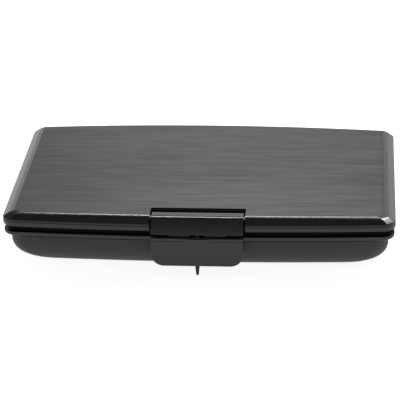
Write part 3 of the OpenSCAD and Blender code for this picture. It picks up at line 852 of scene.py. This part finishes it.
def pin_solids():
    """The round housing of the locking pin at the pad's back and the stepped bore inside it."""
    outer_r = 3.6 * MM
    guide_r = 2.6 * MM
    outer_top = 16 * MM
    guide_top = 24.2 * MM
    housing = [(0, 0), (outer_r, 0), (outer_r, outer_top), (guide_r, outer_top), (guide_r, guide_top),
               (0, guide_top)]
    chamber_r = 2.7 * MM
    chamber_top = 13.8 * MM
    bore_r = 1.36 * MM
    past = 30 * MM
    bore = [(0, -MM), (chamber_r, -MM), (chamber_r, chamber_top), (bore_r, chamber_top), (bore_r, past),
            (0, past)]
    return [placed(turned("round", profile), (0, PIN_Y, PAD_LOW)) for profile in (housing, bore)]


def pad():
    """The latch pad on the base, with its mountings, the keeper's tongue and the locking pin's housing."""
    corner = 10.7 * MM
    x = LATCH_HALF
    right = arc(x - corner, PAD_LOW + corner, corner, 0, -90, 14)
    left = arc(corner - x, PAD_LOW + corner, corner, -90, -180, 14)
    plate = prism("pad", [(x, PAD_HIGH)] + right + left + [(-x, PAD_HIGH)], "y", -LATCH_Y, PAD_T - LATCH_Y)
    cut(plate, pad_scoop())
    ease(plate, 0.42 * MM, 35, 3)
    line_x = (9 * MM, x + MM)
    line_z = (32.8 * MM, 33.6 * MM)
    shelf_z = (TONGUE_LOW, TONGUE_LOW + 5 * MM)
    for side in (-1, 1):
        cut(plate, block(span(side, *line_x), (-LATCH_Y - MM, 0.3 * MM - LATCH_Y), line_z))
        standoff = block(span(side, *STANDOFF_X), (3 * MM - LATCH_Y, -FRONT + 5.5 * MM), STANDOFF_Z)
        shelf = block(span(side, *TONGUE_X), (MM - LATCH_Y, -FRONT + 0.3 * MM), shelf_z)
        fuse(plate, standoff, shelf, keeper(side))
    housing, bore = pin_solids()
    fuse(plate, housing)
    cut(plate, bore)
    piece(plate, "pad", "base", "latch_matt", PAD, "latch_pad")


def keeper(side):
    """One half of the upright tongue, with the window that holds a barb of the flap."""
    tongue = block(span(side, *TONGUE_X), (TONGUE_Y, TONGUE_Y + TONGUE_T), (TONGUE_LOW, high("latch_pad")[2]))
    ease(tongue, 0.15 * MM, 30, 2)
    return cut(tongue, block(span(side, *WINDOW_X), (TONGUE_Y - MM, TONGUE_Y + 2 * MM), WINDOW_Z))


HEEL = (-100.2 * MM, 48.7 * MM)  # centre, in Y and Z, of the curl at the flap's rear edge
HEEL_R = 2.8 * MM
SHOULDER = Vector((-108.5 * MM, 48.2 * MM))
SHOULDER_R = 3.3 * MM
SHOULDER_FLAT = (97, 118)  # the angles between which the shoulder is a narrow flat
SHOULDER_END = 138
FLAP_GROOVE_Y = (-108.2 * MM, -107.1 * MM)


def flap_path(t):
    """The flap's surface from its rear edge over the top and down its face, moved in by t. A narrow flat runs
    along its shoulder, and the face is one wide arc from the shoulder to the lower edge."""
    out = Vector((math.cos(math.radians(SHOULDER_END)), math.sin(math.radians(SHOULDER_END))))
    start = SHOULDER + SHOULDER_R * out
    chord = Vector((-FLAP_Y, FLAP_LOW)) - start
    face_r = -chord.dot(chord) / (2 * chord.dot(out))
    hub = start - face_r * out
    last = SHOULDER_END + math.degrees(2 * math.asin(chord.length / (2 * face_r)))
    flat_start, flat_end = SHOULDER_FLAT
    return (arc(*HEEL, HEEL_R - t, 0, 90, 12)
            + arc(*SHOULDER, SHOULDER_R - t, 90, flat_start, 2)
            + arc(*SHOULDER, SHOULDER_R - t, flat_end, SHOULDER_END, 5)
            + arc(*hub, face_r - t, SHOULDER_END, last, 18))


def flap():
    """The latch flap: a curved shell with a knuckle on its pin, two barbs and a boss for the locking pin."""
    x = LATCH_HALF
    across = (-x - MM, x + MM)
    body = prism("flap", flap_path(0) + list(reversed(flap_path(FLAP_T))), "x", -x, x)
    cut(body, block(across, (-LATCH_Y, NOTCH_BACK), (FLAP_LOW - 3 * MM, FLAP_LOW)))
    ease(body, 0.4 * MM, 35, 3)
    cut(body, block(across, FLAP_GROOVE_Y, (51 * MM, 53 * MM)))
    pin_boss = block((-3.4 * MM, 3.4 * MM), (PIN_Y - 1.8 * MM, PIN_Y + 2.8 * MM), (FLAP_LOW, 42.9 * MM))
    fuse(body, rod(FLAP_AXIS, 3 * MM, 2 * x, "x"), pin_boss)
    for side in (-1, 1):
        fuse(body, block(span(side, *BARB_X), (MM - FLAP_Y, -FRONT + 0.4 * MM), BARB_Z))
    lock_hole = rod((0, PIN_Y, FLAP_LOW), 1.6 * MM, 7 * MM, "z")
    hinge_hole = rod(FLAP_AXIS, 1.31 * MM, 2 * x + 2 * MM)
    spring_room = block((-7 * MM, 7 * MM), (FLAP_AXIS.y - 4.5 * MM, FLAP_AXIS.y + 4.6 * MM),
                        (FLAP_AXIS.z - 5 * MM, FLAP_AXIS.z + 2.3 * MM))
    cut(body, lock_hole, hinge_hole, spring_room)
    piece(body, "flap", "flap", "latch_gloss", GLOSS, "latch_flap", angle=40)


def flap_pintle():
    length = high("flap_pin")[0] - low("flap_pin")[0]
    piece(rod(FLAP_AXIS, 1.25 * MM, length, "x", 0.25 * MM), "flap_pintle", "lid", "steel", STEEL, "flap_pin")


def locking_pin():
    """A pin with a rounded spike below, a collar in the pad's housing and a domed upper end."""
    low_z = low("lock_pin")[2]
    tip_r = 1.15 * MM
    top = high("lock_pin")[2]
    dome_r = 1.3 * MM
    spike_r = 2.1 * MM
    collar_r = 2.6 * MM
    collar_low = PAD_LOW + 3.2 * MM
    collar_high = collar_low + MM
    soft = 0.2 * MM
    collar = [(collar_r - soft, collar_low), (collar_r, collar_low + soft), (collar_r, collar_high - soft),
              (collar_r - soft, collar_high)]
    profile = arc(0, low_z + tip_r, tip_r, -90, 0, 8) + [(spike_r, PAD_LOW), (spike_r, collar_low)] + collar
    profile += [(dome_r, collar_high)] + arc(0, top - dome_r, dome_r, 0, 90, 8)
    profile = [(max(r, 0.0), z) for r, z in profile]
    piece(placed(turned("pin", profile), (0, PIN_Y, 0)), "locking_pin", "lock_pin", "pin_steel", DARK_STEEL,
          "lock_pin")


def pin_bush():
    """The ring that the locking pin slides in."""
    bore = 2.16 * MM
    out = 2.68 * MM
    top = 2.88 * MM
    inner_soft = 0.15 * MM
    outer_soft = 0.1 * MM
    profile = [(bore, inner_soft), (bore + inner_soft, 0), (out - outer_soft, 0), (out, outer_soft),
               (out, top), (bore, top)]
    bush = placed(turned("bush", profile), (0, PIN_Y, PAD_LOW))
    piece(bush, "pin_bush", "base", "steel", STEEL, "lock_pin_bush")


def spring():
    """A coil round the flap's pin. Its rear leg is bent down, clear of the flap's swing."""
    turns = 6.5
    pitch = MM
    r = 1.9 * MM
    wire_r = 0.35 * MM
    steps = 28
    coil = []
    for i in range(int(turns * steps) + 1):
        a = 2 * math.pi * i / steps
        coil.append(FLAP_AXIS + Vector((pitch * (i / steps - turns / 2), r * math.sin(a), r * math.cos(a))))
    first = coil[0] + Vector((0, -4.1 * MM, 0))
    bend = [(-0.8, -2.2), (-1.1, -3), (-0.9, -4.2), (-0.2, -4.9), (0.8, -5.1), (7.8, -5.1)]
    leg = [FLAP_AXIS + Vector((turns / 2 * pitch, y * MM, z * MM)) for y, z in bend]
    body = sweep("spring", [first] + coil + leg, wire_r)
    piece(body, "return_spring", "lid", "steel", STEEL, "flap_spring", angle=60)


# ---- lid ----

def softened(points, size):
    """Rounds each inner point of a path by a curve that starts and ends at the given distance from it."""
    made = []
    for before, p, after in zip(points, points[1:], points[2:]):
        p = Vector(p)
        a = p + (Vector(before) - p).normalized() * size
        b = p + (Vector(after) - p).normalized() * size
        made += [tuple(curve_point(a, p, b, u)) for u in (0, 0.25, 0.5, 0.75, 1)]
    return made


def plate_ring(t, z, crown=1.0):
    """The plate's outline at t from its lower edge, 0, to the edge of its flat top, 1."""
    ix = PLATE_EDGE + (BEVEL_X - PLATE_EDGE) * t
    iy = PLATE_EDGE + (BEVEL_Y - PLATE_EDGE) * t
    corners = []
    for clip_low, clip_top, size in zip(CLIP_LOW, CLIP_TOP, CLIP_SOFT):
        corner = clip_corner(ix, iy, max(clip_low + (clip_top - clip_low) * t, MM))
        below = (corner[0][0], 0)
        further_x = corner[1][0] - 20 * MM
        beyond = (further_x, bow(further_x, iy))
        corners.append(softened([below] + corner + [beyond], size))
    return lifted(outline(*corners, iy, 44), z, PLATE_CROWN * crown)


FACES_UP = 0.985  # the least upward part of a normal on the plate's flat top


def plate():
    """The bevelled lid plate, turned under at its lower edge. The bevel runs into the top in a soft curve."""
    rise = PLATE_TOP - PLATE_LOW
    under_z = PLATE_TOP - PLATE_T
    start = Vector((0.55, PLATE_LOW + rise * 0.55))
    corner = Vector((1, PLATE_TOP))
    end = Vector((1.6, PLATE_TOP))
    steps = 11
    curve = [curve_point(start, corner, end, i / steps) for i in range(steps + 1)]
    rings = [plate_ring(1.2, under_z), plate_ring(0.16, PLATE_LOW + 0.1 * MM, 0.1),
             plate_ring(0.07, PLATE_LOW, 0), plate_ring(0.01, PLATE_LOW, 0),
             plate_ring(0.0, PLATE_LOW + 0.1 * MM, 0), plate_ring(0.05, PLATE_LOW + rise * 0.08, 0.05)]
    rings += [plate_ring(t, z, min(t, 1)) for t, z in curve]
    body = loft("plate", rings)
    cut(body, block((-NOTCH_HALF, NOTCH_HALF), (-LATCH_Y, NOTCH_BACK), (PLATE_LOW - MM, PLATE_TOP + MM)))
    piece(body, "top_plate", "lid", "plate_metal", METAL_TOP, "lid_plate", angle=24)
    body.data.materials.append(METAL_SIDE)
    for face in body.data.polygons:
        face.material_index = 1 if face.normal.z < FACES_UP else 0


def lid_form():
    """The lid rim's outer form, with a fine line round its side, as a solid."""
    under = [(1.2, 0), (0.55, 0.06), (0.2, 0.3), (0.05, 0.65), (0, 1.1)]
    line = [(0, 3.95), (0.12, 4.1), (0.5, 4.15), (0.5, 4.85), (0.12, 4.9), (0, 5.05)]
    upper = [(0, 5.75), (0.1, 6.05), (0.3, 6.22), (0.7, 6.3), (1.9, 6.3)]
    rings = [lifted(rim_outline(i * MM), LID_LOW + z * MM) for i, z in under + line + upper]
    return loft("form", rings)


def backing():
    """The part of the lid's frame that fills the plate's hollow."""
    low_clips, high_clips = [[clip - CLIP_AIR for clip in clips] for clips in (CLIP_LOW, CLIP_TOP)]
    low_in = 1.9 * MM
    high_in = 1.6 * MM
    high_z = PLATE_TOP - PLATE_T - 0.15 * MM
    low_ring = lifted(plate_outline(low_in, low_in, low_clips), PLATE_LOW - 0.5 * MM)
    high_ring = lifted(plate_outline(BEVEL_X + high_in, BEVEL_Y + high_in, high_clips), high_z, PLATE_CROWN)
    return loft("backing", [low_ring, high_ring])


def slab(inset, r, z_low, z_high):
    """A solid of the rim's outline between two heights."""
    return loft("slab", [lifted(rim_outline(inset, r), z) for z in (z_low, z_high)])


def lid_rim():
    """The lid's frame: a hollow form, walls round the latch's notch, screw bosses and room for the hinges."""
    wall = 2.5 * MM
    body = fuse(lid_form(), backing())
    walls = block((-NOTCH_HALF - wall, NOTCH_HALF + wall), (2 * MM - FRONT, NOTCH_BACK + 0.5 * MM),
                  (LID_LOW, LID_CEILING + MM))
    pocket = combine(fuse(lid_form(), backing()), [walls], "INTERSECT")
    hollow_top = 44.5 * MM
    cut(body, slab(3.2 * MM, RIM_R, LID_LOW - MM, hollow_top),
        slab(9.5 * MM, 14 * MM, hollow_top - 0.1 * MM, LID_CEILING))
    fuse(body, pocket)
    leaf_top = LID_LOW + LEAF_T
    for hinge in HINGES:
        for side in (-1, 1):
            x = hinge.x + side * LEAF_SCREW_X
            fuse(body, boss(x, middle("hinge_screws_lid").y, leaf_top, leaf_top + 4.2 * MM, BOSS_R))
        cut(body, leaf_room(hinge, LID_LOW - MM, leaf_top), rod(hinge, BARREL_R + AIR, 2 * LEAF_HALF + MM))
    notch = block((-NOTCH_HALF, NOTCH_HALF), (-LATCH_Y - MM, NOTCH_BACK - 1.5 * MM),
                  (LID_LOW - MM, PLATE_TOP + MM))
    cut(body, notch, rod(FLAP_AXIS, 1.27 * MM, 2 * NOTCH_HALF + 4.1 * MM))
    piece(body, "lid_rim", "lid", "rim_plastic", RIM, "lid_frame")


def step(a, b, x):
    """Rises smoothly from 0 at a to 1 at b."""
    u = min(max((x - a) / (b - a), 0), 1)
    return u * u * (3 - 2 * u)


FOAM_INSET = 12 * MM
FOAM_HALF_X = HALF_W - FOAM_INSET
FOAM_CORNER = 6 * MM
FOAM_EDGE = 1.6 * MM
FOAM_DENT = 0.7 * MM
FOAM_COLUMNS = 220
FOAM_ROWS = 96
CLOSING_X = 0.55  # how far the foam's columns close up towards its ends: 0 is evenly spaced
CLOSING_Y = 0.6  # and its lines towards its front and rear edges


def foam_x(i):
    """Where column i stands. The end columns keep a hair clear of the foam's very ends."""
    share = i / FOAM_COLUMNS
    clear = 0.0005
    closing = -math.cos(math.pi * (clear + (1 - 2 * clear) * share))
    return FOAM_HALF_X * (CLOSING_X * closing + (1 - CLOSING_X) * (2 * share - 1))


def foam_share(j):
    """Where line j stands from the front edge, 0, to the rear edge, 1."""
    share = j / FOAM_ROWS
    return CLOSING_Y * (0.5 - 0.5 * math.cos(math.pi * share)) + (1 - CLOSING_Y) * share


def foam_sides(x):
    """The foam's front and rear edge at x. Its corners are round, and it stands back from the notch."""
    ends = max(abs(x) - FOAM_HALF_X + FOAM_CORNER, 0)
    rear = bow(x, FOAM_INSET) - FOAM_CORNER + math.sqrt(max(FOAM_CORNER ** 2 - ends ** 2, 0))
    notch = LATCH_HALF + 8 * MM
    blend = step(notch, notch + 5 * MM, abs(x))
    return -rear * blend + (NOTCH_BACK + 4 * MM) * (1 - blend), rear


def foam_drop(x, y, front, rear, thick):
    """How far the foam hangs down at a point: less at its round edges and in the dents over the rows."""
    gap = min(y - front, rear - y, FOAM_HALF_X - abs(x))
    round_off = 1 - math.sqrt(max(1 - (1 - min(gap / FOAM_EDGE, 1)) ** 2, 0))
    dent = (0.5 + 0.5 * math.cos(2 * math.pi * x / ROW_PITCH)) ** 2
    inside = step(0, 14 * MM, min(y - front, rear - y)) * step(0, 8 * MM, FOAM_HALF_X - abs(x))
    return thick * (1 - 0.9 * round_off) - FOAM_DENT * dent * inside


def foam():
    """The lid's foam lining: a thin sheet with round edges, pressed a little deeper along each row."""
    top = high("lid_pad")[2]
    thick = top - low("lid_pad")[2]
    sheet = bmesh.new()
    above = []
    below = []
    for x in [foam_x(i) for i in range(FOAM_COLUMNS + 1)]:
        front, rear = foam_sides(x)
        ys = [front + (rear - front) * foam_share(j) for j in range(FOAM_ROWS + 1)]
        above.append([sheet.verts.new((x, y, top)) for y in ys])
        below.append([sheet.verts.new((x, y, top - foam_drop(x, y, front, rear, thick))) for y in ys])
    for i in range(FOAM_COLUMNS):
        for j in range(FOAM_ROWS):
            for layer in (above, below):
                sheet.faces.new([layer[i][j], layer[i + 1][j], layer[i + 1][j + 1], layer[i][j + 1]])
    border = [(i, 0) for i in range(FOAM_COLUMNS)] + [(FOAM_COLUMNS, j) for j in range(FOAM_ROWS)]
    border += [(i, FOAM_ROWS) for i in range(FOAM_COLUMNS, 0, -1)] + [(0, j) for j in range(FOAM_ROWS, 0, -1)]
    for (i, j), (k, m) in zip(border, border[1:] + border[:1]):
        sheet.faces.new([above[i][j], above[k][m], below[k][m], below[i][j]])
    lining = piece(from_bmesh("foam", sheet), "lining", "lid", "foam", FOAM, "lid_pad", angle=70)


# ---- all pieces ----

tub()
tub_rim()
seal()
for number in range(ROWS):
    chip_row(number)
row_end("row_end_front")
row_end("row_end_rear")
deck()
all_screws()
all_feet()
all_hinges()
pad()
flap()
flap_pintle()
locking_pin()
pin_bush()
spring()
lid_rim()
plate()
foam()


# ---- floor, light and camera ----

def look_along(obj, spot, target, roll=0.0):
    """Places a camera or a light at a spot and turns it to a target, with a roll in radians."""
    towards = (target - spot).normalized()
    turn = towards.to_track_quat("-Z", "Y").to_matrix().to_4x4()
    obj.matrix_world = Matrix.Translation(spot) @ turn @ Matrix.Rotation(roll, 4, "Z")


def direction(azimuth, elevation):
    """A unit vector from the object towards a viewer or light: azimuth 0 is the front, 90 the right side."""
    a, e = math.radians(azimuth), math.radians(elevation)
    return Vector((math.sin(a) * math.cos(e), -math.cos(a) * math.cos(e), math.sin(e)))


def floor():
    """A pale floor with light of its own, so that it stays white under the studio's soft light."""
    bm = bmesh.new()
    half = 6.0
    corners = [bm.verts.new((x * half, y * half, 0)) for x, y in ((-1, -1), (1, -1), (1, 1), (-1, 1))]
    bm.faces.new(corners)
    plane = from_bmesh("floor", bm)
    paint, _, _ = material("floor_paint", (0.93, 0.93, 0.93), 0.9, Emission_Color=(1, 1, 1, 1),
                           Emission_Strength=0.86)
    plane.data.materials.append(paint)


def softbox(name, azimuth, elevation, distance, size, power):
    """A rectangular light turned to the object's middle, with angles in degrees, metres and watts."""
    target = Vector((0, 0, 0.03))
    data = bpy.data.lights.new(name, "AREA")
    data.shape = "RECTANGLE"
    data.size, data.size_y = size
    data.energy = power
    obj = new_object(name, data)
    look_along(obj, target + direction(azimuth, elevation) * distance, target)


def studio():
    """A surround that is bright low down behind and dark in front and overhead, with two soft boxes behind
    and one at the right rear."""
    world = bpy.data.worlds.new("studio")
    bpy.context.scene.world = world
    world.use_nodes = True
    tree = world.node_tree
    place = add(tree, "TexCoord")
    split = add(tree, "SeparateXYZ")
    tree.links.new(place.outputs["Generated"], split.inputs[0])
    rise = split.outputs["Z"]
    behind = ramp(tree, rise, [(0.0, 1.0), (0.14, 1.0), (0.26, 0.8), (0.38, 0.5), (0.6, 0.15), (1.0, 0.05)])
    ahead = ramp(tree, rise, [(0.0, 1.0), (0.06, 0.7), (0.16, 0.42), (0.6, 0.2), (0.88, 0.13), (1.0, 0.05)])
    depth = add(tree, "MapRange")
    depth.inputs["From Min"].default_value = -0.25
    depth.inputs["From Max"].default_value = 0.3
    tree.links.new(split.outputs["Y"], depth.inputs["Value"])
    both = add(tree, "Mix", data_type="RGBA")
    tree.links.new(depth.outputs["Result"], both.inputs[MIX_FACTOR])
    tree.links.new(ahead, both.inputs[MIX_FIRST])
    tree.links.new(behind, both.inputs[MIX_SECOND])
    background = tree.nodes["Background"]
    tree.links.new(both.outputs[MIX_RESULT], background.inputs["Color"])
    background.inputs["Strength"].default_value = 1.0
    softbox("rear_box", 182, 40, 1.6, (0.5, 0.74), 2.4)
    softbox("rear_strip", 184, 57, 1.6, (0.75, 0.14), 5)
    softbox("right_box", 136, 52.7, 1.4, (0.3, 0.3), 6.0)


def camera():
    """A long lens in front of the object, a little to its right and above it."""
    data = bpy.data.cameras.new("camera")
    obj = new_object("camera", data)
    data.sensor_width = 36
    data.lens = 206.3
    data.clip_end = 20
    azimuth = 4.08
    elevation = 22.3
    distance = 2.018
    roll = math.radians(-0.85)
    centre = Vector((0, 0, 0.026))
    aim = Vector((-0.0054, -0.0018, 0.0225))
    look_along(obj, centre + direction(azimuth, elevation) * distance, aim, roll)
    bpy.context.scene.camera = obj


floor()
studio()
camera()
bpy.context.scene.view_settings.view_transform = "Standard"
